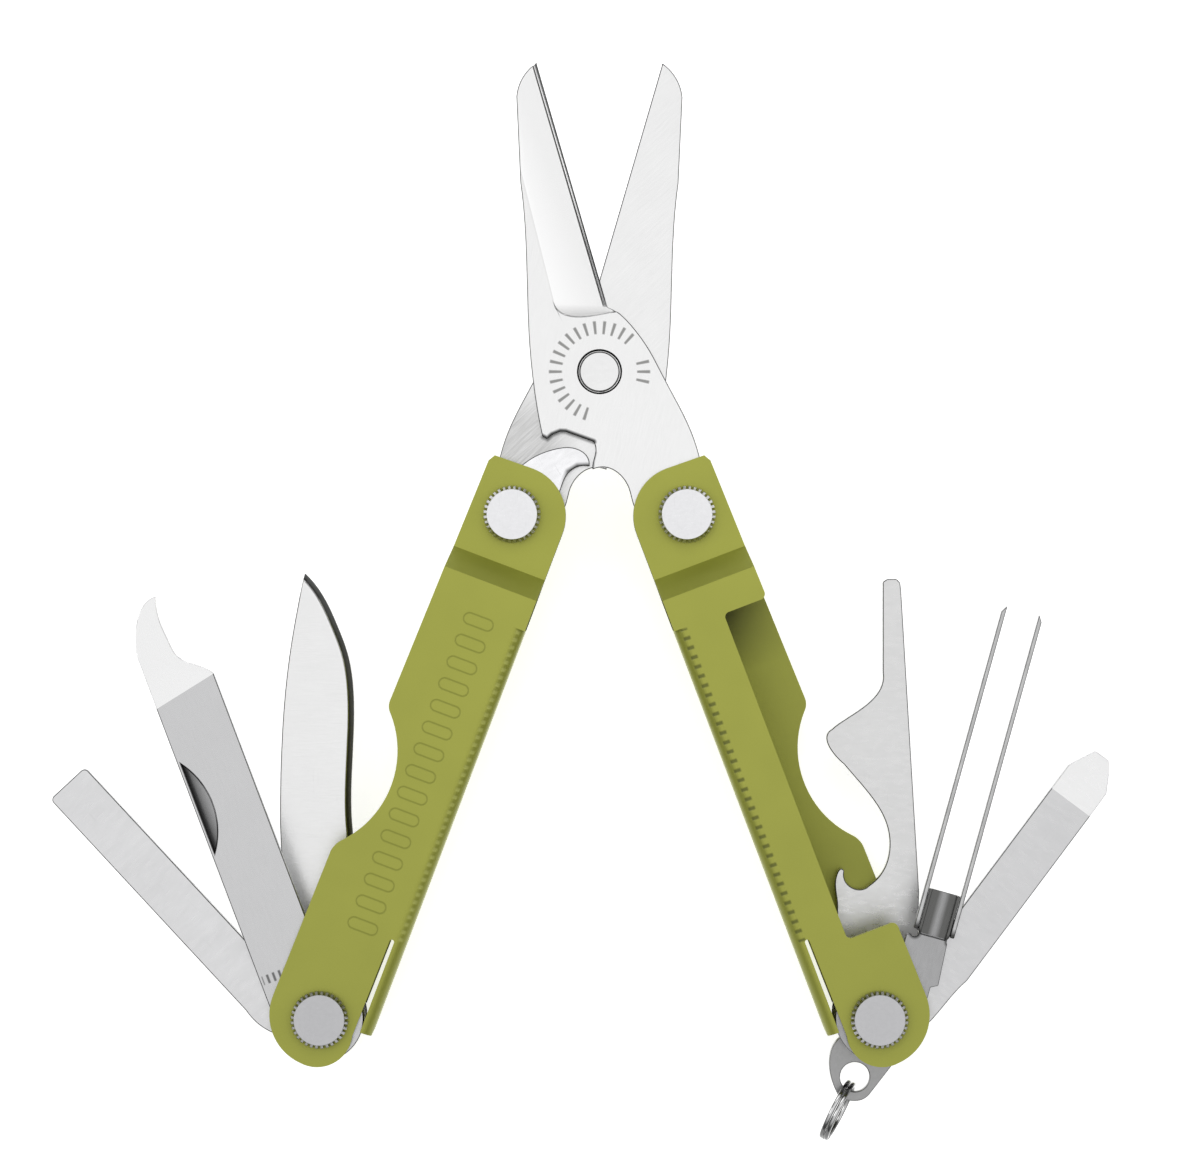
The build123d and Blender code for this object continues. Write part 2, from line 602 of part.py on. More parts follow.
RING_R = 2.95                   # middle of the ring's flat wire
RING_WIRE = (0.6, 0.5)         # radial and axial size of one turn
RING_HANG = -116.5              # direction from the eye to the ring's middle
RING_TILT = 10.0
hang = spin(1, 0, RING_HANG)
eye = (bottom_pin(1)[0] + EYE[0], bottom_pin(1)[1] + EYE[1])
reach = RING_R + 0.8
ring_middle = flat((eye[0] + hang[0] * reach, eye[1] + hang[1] * reach)).origin
across = spin(math.cos(math.radians(RING_TILT)), 0, RING_HANG + 90)
ring_axis = Vector(across[0], across[1], math.sin(math.radians(RING_TILT)))
ring_plane = Plane(origin=ring_middle, x_dir=(-hang[0], -hang[1], 0), z_dir=ring_axis)
with BuildPart() as split_ring:
    for side in (-1, 1):
        with BuildSketch(ring_plane.offset(side * (RING_WIRE[1] / 2 + 0.01) - RING_WIRE[1] / 2)):
            Circle(RING_R + RING_WIRE[0] / 2)
            Circle(RING_R - RING_WIRE[0] / 2, mode=Mode.SUBTRACT)
        extrude(amount=RING_WIRE[1])
    # The two turns meet where the wire crosses over, opposite the tab.
    with BuildSketch(ring_plane.offset(-0.2)):
        with Locations((-RING_R, 0)):
            Rectangle(RING_WIRE[0] * 0.8, 1.6)
    extrude(amount=0.4)


PIECES = {
    "left_handle": left_handle,
    "right_handle": right_handle,
    "left_top_post": left_top_post,
    "left_top_screw": left_top_screw,
    "right_top_post": right_top_post,
    "right_top_screw": right_top_screw,
    "left_bottom_post": left_bottom_post,
    "left_bottom_screw": left_bottom_screw,
    "right_bottom_post": right_bottom_post,
    "right_bottom_screw": right_bottom_screw,
    "left_tool_spacer": left_tool_spacer,
    "right_front_spacer": right_front_spacer,
    "right_back_spacer": right_back_spacer,
    "right_top_spacer": right_top_spacer,
    "front_blade": front_blade,
    "back_blade": back_blade,
    "scissor_rivet": scissor_rivet,
    "pivot_collar": pivot_collar,
    "scissor_spring": scissor_spring,
    "knife_blade": knife_blade,
    "nail_file": nail_file,
    "flat_driver": flat_driver,
    "phillips_driver": phillips_driver,
    "tweezer_base": tweezer_base,
    "tweezer_arm_left": tweezer_arm_left,
    "tweezer_arm_right": tweezer_arm_right,
    "bottle_opener": bottle_opener,
    "lanyard_tab": lanyard_tab,
    "split_ring": split_ring,
}

low = [math.inf] * 3
high = [-math.inf] * 3
for name, piece in PIECES.items():
    piece.part.label = name
    export_step(piece.part, f"parts/{name}.step")
    box = piece.part.bounding_box()
    low = [min(a, b) for a, b in zip(low, tuple(box.min))]
    high = [max(a, b) for a, b in zip(high, tuple(box.max))]
print("whole tool from", [round(v, 3) for v in low], "to", [round(v, 3) for v in high])
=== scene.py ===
"""Looks of the folding pocket multi tool: materials, engraved marks, wear, studio and camera."""

import json
import math

import bpy
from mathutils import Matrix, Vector


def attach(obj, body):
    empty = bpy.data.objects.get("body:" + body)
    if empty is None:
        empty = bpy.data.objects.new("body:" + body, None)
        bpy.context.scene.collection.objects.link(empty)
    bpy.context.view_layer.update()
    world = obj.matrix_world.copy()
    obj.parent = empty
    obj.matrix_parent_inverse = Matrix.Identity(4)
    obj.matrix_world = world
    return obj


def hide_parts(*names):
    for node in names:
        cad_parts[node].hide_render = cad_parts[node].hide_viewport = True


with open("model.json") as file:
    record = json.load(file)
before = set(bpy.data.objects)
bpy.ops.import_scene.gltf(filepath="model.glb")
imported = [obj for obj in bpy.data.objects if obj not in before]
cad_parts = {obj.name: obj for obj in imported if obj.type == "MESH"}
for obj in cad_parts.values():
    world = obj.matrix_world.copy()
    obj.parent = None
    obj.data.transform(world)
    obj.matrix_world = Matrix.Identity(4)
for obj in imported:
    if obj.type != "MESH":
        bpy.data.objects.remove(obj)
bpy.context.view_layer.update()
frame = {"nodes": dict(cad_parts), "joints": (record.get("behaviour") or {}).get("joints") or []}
MM = 0.001

# Places in the frame, in millimetres: the rivet, the handles' pins and lean, and the mid-plane.
centres = {joint["name"]: Vector(joint["pos_m"]) * 1000 for joint in frame["joints"]}
RIVET = tuple(centres["scissors_cut"][:2])
MID = centres["scissors_cut"].z
PINS = {side: tuple(centres[side + "_handle_fold"][:2]) for side in ("left", "right")}
END_PINS = {"left": tuple(centres["knife_fold"][:2]), "right": tuple(centres["opener_fold"][:2])}
EYE = centres["ring_swing"]
LEAN = 20.8

# How far each tool is turned from straight up, in degrees.
FILE_TURN = 20.7
DRIVER_TURN = 42.85
CROSS_TURN = -36.8
TWEEZERS_TURN = -15.5


# --- Camera and light ----------------------------------------------------------------------

CAMERA_FROM_RIVET = (0.048, -21.171)    # millimetres, in the plane of the tool
CAMERA_HEIGHT = 480                     # millimetres above the mid-plane

camera_data = bpy.data.cameras.new("camera")
camera = bpy.data.objects.new("camera", camera_data)
bpy.context.scene.collection.objects.link(camera)
camera_data.lens = 144
camera_data.sensor_width = 36
camera_data.clip_start = 0.01
camera.location = (
    (RIVET[0] + CAMERA_FROM_RIVET[0]) * MM,
    (RIVET[1] + CAMERA_FROM_RIVET[1]) * MM,
    (MID + CAMERA_HEIGHT) * MM,
)
bpy.context.scene.camera = camera


def softbox(name, place, size, power):
    """Rectangular area light at a place in millimetres, aimed at the frame's origin."""
    data = bpy.data.lights.new(name, "AREA")
    data.shape = "RECTANGLE"
    data.size, data.size_y = size[0] * MM, size[1] * MM
    data.energy = power
    light = bpy.data.objects.new(name, data)
    bpy.context.scene.collection.objects.link(light)
    light.location = Vector(place) * MM
    light.rotation_euler = (-Vector(place)).to_track_quat("-Z", "Y").to_euler()


softbox("back_light", (0, 520, 420), (800, 260), 1.0)
softbox("left_light", (-520, 60, 380), (240, 500), 0.8)
softbox("right_light", (520, 60, 380), (240, 500), 0.6)

# The sky is dark at the horizon and bright overhead, so that flat steel mirrors the bright part.
world = bpy.data.worlds.new("studio")
bpy.context.scene.world = world
world.use_nodes = True
world_nodes, world_links = world.node_tree.nodes, world.node_tree.links
world_nodes.clear()
world_out = world_nodes.new("ShaderNodeOutputWorld")
world_light = world_nodes.new("ShaderNodeBackground")
world_light.inputs["Strength"].default_value = 1.0
world_ramp = world_nodes.new("ShaderNodeValToRGB")
world_place = world_nodes.new("ShaderNodeTexCoord")
world_split = world_nodes.new("ShaderNodeSeparateXYZ")
world_stops = world_ramp.color_ramp.elements
world_stops[0].position, world_stops[0].color = 0.0, (0.28, 0.28, 0.29, 1)
world_stops[1].position, world_stops[1].color = 1.0, (1.12, 1.12, 1.12, 1)
for position, level in ((0.4, 0.36), (0.7, 0.58), (0.88, 0.8), (0.96, 0.98)):
    stop = world_stops.new(position)
    stop.color = (level, level, level, 1)
world_links.new(world_place.outputs["Generated"], world_split.inputs[0])
world_links.new(world_split.outputs["Z"], world_ramp.inputs["Fac"])
world_links.new(world_ramp.outputs["Color"], world_light.inputs["Color"])
world_links.new(world_light.outputs[0], world_out.inputs[0])
bpy.context.scene.view_settings.view_transform = "Standard"


# --- Shader helpers -------------------------------------------------------------------------------


class Shader:
    """A Principled material under construction, with short calls for the nodes it uses."""

    def __init__(self, name, metallic=1.0, roughness=0.3, **constants):
        self.material = bpy.data.materials.new(name)
        self.material.use_nodes = True
        self.tree = self.material.node_tree
        self.surface = self.tree.nodes["Principled BSDF"]
        self.surface.inputs["Metallic"].default_value = metallic
        self.surface.inputs["Roughness"].default_value = roughness
        for socket, value in constants.items():
            self.surface.inputs[socket.replace("_", " ")].default_value = value
        self.place = self.tree.nodes.new("ShaderNodeTexCoord").outputs["Object"]

    def node(self, kind, inputs=None, **settings):
        """A node with settings and inputs; an input is a value or another node's output."""
        made = self.tree.nodes.new("ShaderNode" + kind)
        for key, value in settings.items():
            setattr(made, key, value)
        for key, value in (inputs or {}).items():
            if isinstance(value, bpy.types.NodeSocket):
                self.tree.links.new(value, made.inputs[key])
            else:
                made.inputs[key].default_value = value
        return made

    def math(self, operation, a, b=0.0, clamp=False):
        return self.node("Math", {0: a, 1: b}, operation=operation, use_clamp=clamp).outputs[0]

    def local(self, origin, turn=0.0):
        """Coordinates in millimetres from a point, turned in the tool's plane."""
        shifted = self.node(
            "VectorMath",
            {0: self.place, 1: (origin[0] * MM, origin[1] * MM, MID * MM)},
            operation="SUBTRACT",
        ).outputs[0]
        turned = self.node(
            "VectorRotate", {"Vector": shifted, "Angle": math.radians(-turn)}, rotation_type="Z_AXIS"
        ).outputs[0]
        return self.node("VectorMath", {0: turned, "Scale": 1000.0}, operation="SCALE").outputs[0]

    def axes(self, vector):
        """The vector's three components."""
        split = self.node("SeparateXYZ", {0: vector})
        return split.outputs["X"], split.outputs["Y"], split.outputs["Z"]

    def stretched(self, vector, sx, sy, sz=1.0):
        return self.node("VectorMath", {0: vector, 1: (sx, sy, sz)}, operation="MULTIPLY").outputs[0]

    def noise(self, vector, scale, detail=3.0, rough=0.5):
        return self.node(
            "TexNoise", {"Vector": vector, "Scale": scale, "Detail": detail, "Roughness": rough}
        ).outputs["Fac"]

    def ranged(self, value, low, high, to_low=0.0, to_high=1.0):
        """A value from low to high mapped to to_low to to_high, and held there beyond."""
        return self.node(
            "MapRange",
            {"Value": value, "From Min": low, "From Max": high, "To Min": to_low, "To Max": to_high},
        ).outputs["Result"]

    def between(self, value, low, high, soft=0.05):
        """1 where value lies between low and high, with soft edges."""
        rise = self.ranged(value, low - soft, low + soft)
        fall = self.ranged(value, high - soft, high + soft, 1.0, 0.0)
        return self.math("MULTIPLY", rise, fall)

    def product(self, *factors):
        total = factors[0]
        for factor in factors[1:]:
            total = self.math("MULTIPLY", total, factor)
        return total

    def most(self, *values):
        top = values[0]
        for value in values[1:]:
            top = self.math("MAXIMUM", top, value)
        return top

    def blend(self, factor, a, b):
        """Colour a where factor is 0 and b where it is 1."""
        mixed = self.node("Mix", {0: factor}, data_type="RGBA")
        for socket, value in ((mixed.inputs[6], a), (mixed.inputs[7], b)):
            if isinstance(value, bpy.types.NodeSocket):
                self.tree.links.new(value, socket)
            else:
                socket.default_value = (*value, 1)
        return mixed.outputs[2]

    def tilt(self):
        """How much the surface faces up or down, 0 on a wall and 1 on a flat."""
        return self.math("ABSOLUTE", self.up())

    def up(self):
        """How much the surface faces up, 1 on a front flat and -1 on a back flat."""
        normal = self.node("NewGeometry").outputs["True Normal"]
        return self.axes(normal)[2]

    def colour(self, value):
        self.tree.links.new(value, self.surface.inputs["Base Color"])

    def roughness(self, value):
        self.tree.links.new(value, self.surface.inputs["Roughness"])

    def line_distance(self, x, y, points):
        """Distance in the tool's plane to a line through points."""
        nearest = None
        for (ax, ay), (bx, by) in zip(points, points[1:]):
            dx, dy = bx - ax, by - ay
            px, py = self.math("SUBTRACT", x, ax), self.math("SUBTRACT", y, ay)
            along = self.math("ADD", self.math("MULTIPLY", px, dx), self.math("MULTIPLY", py, dy))
            t = self.math("DIVIDE", along, dx * dx + dy * dy, clamp=True)
            ex = self.math("SUBTRACT", px, self.math("MULTIPLY", t, dx))
            ey = self.math("SUBTRACT", py, self.math("MULTIPLY", t, dy))
            gap = self.length(ex, ey)
            nearest = gap if nearest is None else self.math("MINIMUM", nearest, gap)
        return nearest

    def length(self, x, y):
        square = self.math("ADD", self.math("MULTIPLY", x, x), self.math("MULTIPLY", y, y))
        return self.math("SQRT", square)

    def bump(self, height, strength=0.3, distance=0.02):
        """Bump from a height in units of distance, in millimetres."""
        made = self.node(
            "Bump", {"Height": height, "Strength": strength, "Distance": distance * MM}
        )
        self.tree.links.new(made.outputs[0], self.surface.inputs["Normal"])


def srgb(r, g, b):
    """Linear colour from 8-bit display values."""
    def linear(v):
        v /= 255
        return v / 12.92 if v <= 0.04045 else ((v + 0.055) / 1.055) ** 2.4
    return linear(r), linear(g), linear(b)


def dress(node, material, edge=0.09, segments=1, clamp=False):
    """Gives a CAD node its material and, in millimetres, the width its edges are broken to.

    With clamp off the edges show on thin blades too, where the clamp would take them to nothing.
    """
    piece = frame["nodes"][node]
    piece.data.materials.clear()
    piece.data.materials.append(material)
    weld = piece.modifiers.new("weld", "WELD")
    weld.merge_threshold = 0.002 * MM
    merge = piece.modifiers.new("merge", "DECIMATE")
    merge.decimate_type = "DISSOLVE"
    merge.angle_limit = math.radians(0.4)
    rounding = piece.modifiers.new("broken_edges", "BEVEL")
    rounding.width = edge * MM
    rounding.segments = segments
    rounding.limit_method = "ANGLE"
    rounding.angle_limit = math.radians(32)
    rounding.use_clamp_overlap = clamp
    normals = piece.modifiers.new("flat_faces", "WEIGHTED_NORMAL")
    normals.weight = 80


# --- Anodised handles -----------------------------------------------------------------------------

LIME = srgb(164, 167, 67)
LIME_LOW = srgb(157, 160, 64)
LIME_DEEP = srgb(120, 124, 39)
LIME_SHADE = srgb(58, 60, 4)
LIME_EDGE = srgb(186, 190, 104)
LIME_INK = srgb(84, 88, 30)
RULE = (10.5, 43.6)             # where the rule's marks start and end, from the pin down


CAPSULE_HALF = 0.95             # half the straight part of a capsule, in millimetres


def capsules(s, down, spine, first, last, pitch, middle):
    """Outlines of a row of capsules that lie across the handle; 1 on the engraved line."""
    cell = s.math("FRACT", s.math("DIVIDE", s.math("SUBTRACT", down, first), pitch))
    v = s.math("MULTIPLY", s.math("SUBTRACT", cell, 0.5), pitch)
    u = s.math("ABSOLUTE", s.math("SUBTRACT", spine, middle))
    past = s.math("MAXIMUM", s.math("SUBTRACT", u, CAPSULE_HALF), 0.0)
    line = s.between(s.length(past, v), 0.5, 0.64, 0.05)
    return s.product(line, s.between(down, first, last, 0.02))


def anodised(side):
    """Satin lime anodising over fine blasting, with a rule's marks along the spine's edge."""
    sign = -1 if side == "left" else 1
    s = Shader("anodised_" + side, metallic=0.35, roughness=0.42, IOR=1.5)
    local = s.local(PINS[side], sign * LEAN)
    across, along, height = s.axes(local)
    # Distances from the line of the pins towards the spine, and down from the top pin.
    spine = s.math("MULTIPLY", across, -sign)
    down = s.math("MULTIPLY", along, -1.0)
    grit = s.noise(local, 9.0, 4.0, 0.7)
    cloud = s.noise(local, 0.16, 2.0)
    up = s.up()
    front = s.product(s.math("GREATER_THAN", height, 4.6), s.math("GREATER_THAN", up, 0.5))
    # Painted shade: the colour darkens from the top pin downwards, as the light falls off down the
    # handle.
    tone = s.blend(s.ranged(down, 5.0, 50.0), LIME, LIME_LOW)
    tone = s.blend(s.ranged(cloud, 0.3, 0.7, 0.12, 0.0), tone, LIME_DEEP)
    tone = s.blend(s.ranged(grit, 0.35, 0.75, 0.0, 0.16), tone, LIME_EDGE)
    # The joggle, the fold's rounding and the walls' edges fall away from the light, so they get
    # painted shade.
    slope = s.between(s.tilt(), 0.12, 0.93, 0.05)
    tone = s.blend(s.math("MULTIPLY", slope, 0.6), tone, LIME_DEEP)
    # Painted shade, nearly black, on the slit's walls near the handle's end.
    slit = s.product(
        s.math("LESS_THAN", s.tilt(), 0.3),
        s.between(spine, 3.55, 4.35, 0.05),
        s.math("GREATER_THAN", down, 43.2),
    )
    tone = s.blend(s.math("MULTIPLY", slit, 0.9), tone, LIME_SHADE)
    # The inside of the channel is shaded, most of all below the joggle.
    inside = s.product(s.math("GREATER_THAN", up, 0.5), s.math("LESS_THAN", height, 0.0))
    tone = s.blend(s.math("MULTIPLY", inside, 0.12), tone, LIME_DEEP)
    corner = s.product(
        inside, s.ranged(down, 11.0, 17.0, 1.0, 0.0), s.ranged(spine, -4.5, 0.0, 0.4, 1.0)
    )
    tone = s.blend(corner, tone, LIME_SHADE)
    if side == "right":
        pitch, low, high, width = 1.0, 4.05, 4.75, 0.36
        phase = s.math("FRACT", s.math("DIVIDE", down, pitch))
        tick = s.between(phase, 0.5 - width / 2, 0.5 + width / 2, 0.08)
        marks = s.product(
            tick, s.between(spine, low, high, 0.08), s.between(down, *RULE, 0.1), front
        )
        tone = s.blend(s.math("MULTIPLY", marks, 0.8), tone, LIME_INK)
        engraved = marks
    else:
        pitch, low, high, width = 0.794, 4.5, 4.95, 0.46
        phase = s.math("FRACT", s.math("DIVIDE", down, pitch))
        tick = s.between(phase, 0.5 - width / 2, 0.5 + width / 2, 0.1)
        marks = s.product(
            tick, s.between(spine, low, high, 0.12), s.between(down, *RULE, 0.1), front
        )
        tone = s.blend(s.math("MULTIPLY", marks, 0.55), tone, LIME_EDGE)
        outline = s.math("MULTIPLY", capsules(s, down, spine, 10.0, 44.5, 2.3, 0.73), front)
        tone = s.blend(s.math("MULTIPLY", outline, 0.65), tone, LIME_DEEP)
        engraved = s.most(marks, outline)
    s.colour(tone)
    s.roughness(s.ranged(grit, 0.3, 0.7, 0.36, 0.52))
    relief = s.math("SUBTRACT", s.math("MULTIPLY", grit, 0.18), engraved)
    s.bump(relief, 0.4, 0.07)
    return s.material


for side in ("left", "right"):
    dress(side + "_handle", anodised(side), 0.09, 2, True)


# --- Steel ----------------------------------------------------------------------------------------

BLACK = srgb(38, 38, 37)
GREY = srgb(120, 120, 118)


def steel(name, turn, origin, tone, rough, grain, streak, rim=0.7):
    """Brushed steel whose grain runs along the turned axes, with painted shade on broken edges and
    bevels.

    tone is in display values; grain is the noise's scale across and along; streak is how
    strongly the grain shows, and rim how dark the painted shade on the broken edges is.
    """
    s = Shader(name, metallic=1.0, roughness=rough)
    s.frame_xyz = s.local(origin, turn)
    s.x, s.y, s.z = s.axes(s.frame_xyz)
    s.lines = s.noise(s.stretched(s.frame_xyz, *grain, 0.3), 1.0, 5.0, 0.65)
    s.fine = s.noise(s.stretched(s.frame_xyz, grain[0] * 3, grain[1] * 3, 1.0), 1.0, 3.0, 0.6)
    cloud = s.noise(s.frame_xyz, 0.25, 3.0)
    scratch = s.noise(s.stretched(s.frame_xyz, 6.0, 0.35, 0.3), 1.0, 2.0, 0.4)
    base = srgb(*tone)
    low = tuple(v * 0.55 for v in base)
    s.tone = s.blend(s.ranged(s.lines, 0.3, 0.7, streak, 0.0), base, low)
    s.tone = s.blend(s.ranged(cloud, 0.35, 0.7, streak * 0.5, 0.0), s.tone, low)
    s.tone = s.blend(s.ranged(scratch, 0.68, 0.8, 0.0, streak * 0.7), s.tone, GREY)
    # Painted shade on broken edges and bevels, by how far each face is tilted.
    s.tone = s.blend(s.math("MULTIPLY", s.between(s.tilt(), 0.2, 0.88, 0.04), rim), s.tone, BLACK)
    s.rough_value = s.ranged(s.fine, 0.25, 0.75, rough + 0.07, rough - 0.04)
    return s


def shade(s, amount, colour=BLACK):
    """Lays a colour over the steel's tone by an amount from 0 to 1."""
    s.tone = s.blend(amount, s.tone, colour)


def finish_steel(s, relief=None, strength=0.035):
    """Joins the tone, the roughness and the relief up and gives the material."""
    s.colour(s.tone)
    s.roughness(s.rough_value)
    s.bump(relief or s.fine, strength, 0.015)
    return s.material


HEAD_LEVELS = {"left_top": 236, "right_top": 235, "left_bottom": 191, "right_bottom": 193}
for name, level in HEAD_LEVELS.items():
    side = name.split("_")[0]
    place = PINS[side] if name.endswith("top") else END_PINS[side]
    heads = steel(name + "_head", 0, place, (level, level, level + 2), 0.3, (2.0, 2.6), 0.14, 0.3)
    radius = heads.length(heads.x, heads.y)
    # Painted shade between the teeth.
    wall = heads.math("LESS_THAN", heads.tilt(), 0.3)
    teeth = heads.product(wall, heads.math("LESS_THAN", radius, 2.8))
    shade(heads, heads.math("MULTIPLY", teeth, 0.75))
    made = finish_steel(heads)
    for kind in ("post", "screw"):
        dress(f"{name}_{kind}", made, 0.05, 1, True)
WASHERS = ("left_tool_spacer", "right_front_spacer", "right_back_spacer", "right_top_spacer")
for name in (*WASHERS, "pivot_collar"):
    dress(name, finish_steel(steel(name, 0, RIVET, (190, 190, 192), 0.28, (3.0, 3.0), 0.2)))

rivet = steel("rivet", 0, RIVET, (238, 238, 238), 0.3, (0.8, 2.5), 0.1, 0.85)
dress("scissor_rivet", finish_steel(rivet), 0.09)

front = steel("front_blade", -14, RIVET, (234, 234, 234), 0.2, (5.0, 0.3), 0.05, 0.9)
fx, fy, fz = front.axes(front.local(RIVET))
radius = front.length(fx, fy)
facing = front.up()
top = front.product(front.math("GREATER_THAN", fz, 1.36), front.math("GREATER_THAN", facing, 0.9))
# Painted shade in the counterbore round the rivet's head.
shade(front, front.product(front.math("LESS_THAN", radius, 2.3), front.math("LESS_THAN", fz, 1.38)))
# A ring of short engraved dashes round the rivet.
angle = front.math("MULTIPLY", front.math("ARCTAN2", fy, fx), 180 / math.pi)
angle = front.math("FLOORED_MODULO", front.math("ADD", angle, 30.0), 360.0)
phase = front.math("FRACT", front.math("DIVIDE", angle, 12.0))
dash = front.between(phase, 0.35, 0.65, 0.05)
arcs = front.most(front.between(angle, 72, 288, 0.5), front.between(angle, 12, 48, 0.5))
dashes = front.product(dash, arcs, front.between(radius, 3.75, 5.05, 0.06), top)
shade(front, front.math("MULTIPLY", dashes, 0.85), GREY)
# The ground facet is painted lighter as a painted highlight, and the hollow grind's run-out at its
# root gets a soft painted shade.
facet = front.product(front.math("GREATER_THAN", facing, 0.9), front.math("LESS_THAN", fz, 1.37))
root = front.product(facet, front.ranged(fy, 5.6, 6.7, 1.0, 0.0), front.between(fx, -4.6, 1.2, 0.6))
shade(front, facet, srgb(250, 250, 250))
shade(front, front.math("MULTIPLY", root, 0.35), GREY)
# Only the lower half of the steep cutting bevel keeps the edges' painted shade; the upper half is
# painted near white.
upper_bevel = front.product(
    front.between(front.tilt(), 0.6, 0.85, 0.02),
    front.between(fz, 0.27, 0.5, 0.02),
    front.math("GREATER_THAN", fy, 6.3),
)
shade(front, front.math("MULTIPLY", upper_bevel, 0.9), srgb(242, 242, 242))
# The step at the grind's root gets a lighter grey painted shade than the other broken edges.
run_out = front.product(
    front.between(front.tilt(), 0.2, 0.88, 0.04),
    front.between(fy, 5.2, 7.2, 0.1),
    front.between(fx, -5.2, 1.3, 0.1),
)
shade(front, front.math("MULTIPLY", run_out, 0.85), srgb(196, 196, 196))
# Along the ledge that the spring bears on, painted shade stands in for a rounded-off edge.
LEDGE = ((-5.7, -6.5), (-5.2, -6.75), (-4.7, -6.3), (-3.9, -5.98), (-3.4, -6.0), (-0.62, -7.0))
LEDGE_SIDE = ((-0.62, -7.0), (-0.42, -8.1), (-0.62, -8.9), (-0.7, -9.75))
ledge = front.ranged(front.line_distance(fx, fy, LEDGE), 0.18, 0.4, 0.92, 0.0)
ledge_side = front.ranged(front.line_distance(fx, fy, LEDGE_SIDE), 0.06, 0.22, 0.7, 0.0)
shade(front, front.product(front.most(ledge, ledge_side), front.math("GREATER_THAN", fz, 1.2)))
engraved = front.math("SUBTRACT", front.fine, front.math("MULTIPLY", dashes, 3.0))
dress("front_blade", finish_steel(front, engraved, 0.1))

back = steel("back_blade", 42, RIVET, (235, 235, 235), 0.22, (0.25, 4.5), 0.1, 0.9)
bx, by, _ = back.axes(back.local(RIVET))
facing_up = back.math("GREATER_THAN", back.up(), 0.9)
lever = back.product(back.ranged(by, -1.0, -5.0), back.ranged(bx, -2.0, -5.0))
shade(back, back.math("MULTIPLY", lever, back.ranged(back.lines, 0.3, 0.7, 0.5, 0.22)), GREY)
# Painted shadow of the front blade's ledge on the back blade.
ledge = back.ranged(back.line_distance(bx, by, LEDGE), 0.05, 0.28, 0.6, 0.0)
shade(back, back.product(ledge, facing_up))
dress("back_blade", finish_steel(back))

spring = steel("spring", 30, PINS["left"], (247, 247, 249), 0.14, (0.5, 1.2), 0.3, 0.9)
sx, sy, _ = spring.axes(spring.local(RIVET))
# Painted shadow along the spring's lower edge, where it lies over the lever.
heel = spring.line_distance(sx, sy, ((-1.2, -9.4), (-2.2, -9.45), (-3.1, -10.0), (-3.7, -11.4)))
heel = spring.ranged(heel, 0.1, 0.45, 0.9, 0.0)
shade(spring, spring.product(heel, spring.ranged(sy, -11.6, -9.8)))
dress("scissor_spring", finish_steel(spring, spring.lines, 0.5))

knife = steel("knife", 0, END_PINS["left"], (231, 231, 231), 0.22, (0.4, 9.0), 0.09, 0.96)
dress("knife_blade", finish_steel(knife))

nail = steel("file", FILE_TURN, END_PINS["left"], (200, 200, 201), 0.26, (9.0, 0.4), 0.08, 0.8)
tip = nail.math("SUBTRACT", nail.y, nail.math("MULTIPLY", nail.x, 0.2))
tip = nail.math("GREATER_THAN", tip, 35.3)
shade(nail, nail.product(tip, nail.math("GREATER_THAN", nail.up(), 0.5), 0.85), srgb(242, 242, 242))
# Painted shade in the nail nick, darkest at its steep side and fading across it.
pocket = nail.product(
    nail.between(nail.x, -4.0, -2.4, 0.02),
    nail.between(nail.y, 18.9, 28.6, 0.02),
    nail.between(nail.z, 3.2, 4.07, 0.01),
)
shade(nail, nail.product(pocket, nail.ranged(nail.x, -4.0, -2.6, 0.97, 0.12)))
# Small generic marks near the pin: one row of short strokes across the file.
cells = nail.math("FRACT", nail.math("DIVIDE", nail.x, 0.62))
strokes = nail.product(
    nail.between(cells, 0.3, 0.7, 0.08),
    nail.between(nail.y, 5.05, 5.95, 0.05),
    nail.between(nail.x, -4.0, 1.8, 0.05),
    nail.math("GREATER_THAN", nail.z, 4.05),
)
shade(nail, nail.math("MULTIPLY", strokes, 0.75))
dress("nail_file", finish_steel(nail))

driver = steel(
    "driver", DRIVER_TURN, END_PINS["left"], (218, 218, 219), 0.28, (0.25, 0.7), 0.12, 0.9
)
dress("flat_driver", finish_steel(driver))
cross = steel("cross", CROSS_TURN, END_PINS["right"], (209, 209, 210), 0.28, (0.25, 0.7), 0.1, 0.8)
# Where the tip is ground the steel is brighter.
tip = cross.math("GREATER_THAN", cross.y, 28.6)
tip = cross.product(tip, cross.math("GREATER_THAN", cross.up(), 0.5), 0.85)
shade(cross, tip, srgb(240, 240, 240))
dress("phillips_driver", finish_steel(cross))
opener = steel("opener", 0, END_PINS["right"], (217, 217, 217), 0.28, (0.3, 0.8), 0.1, 0.9)
dress("bottle_opener", finish_steel(opener))

cradle = steel(
    "tweezers", TWEEZERS_TURN, END_PINS["right"], (167, 167, 168), 0.25, (2.4, 0.6), 0.2, 0.7
)
# Painted shade in the hollow that holds the tweezers, weaker along a stripe down its middle.
hollow = cradle.math("GREATER_THAN", cradle.y, 9.3)
stripe = cradle.between(cradle.x, 2.7, 3.4, 0.25)
shade(cradle, cradle.product(hollow, cradle.ranged(stripe, 0.0, 1.0, 0.85, 0.2)), srgb(78, 78, 76))
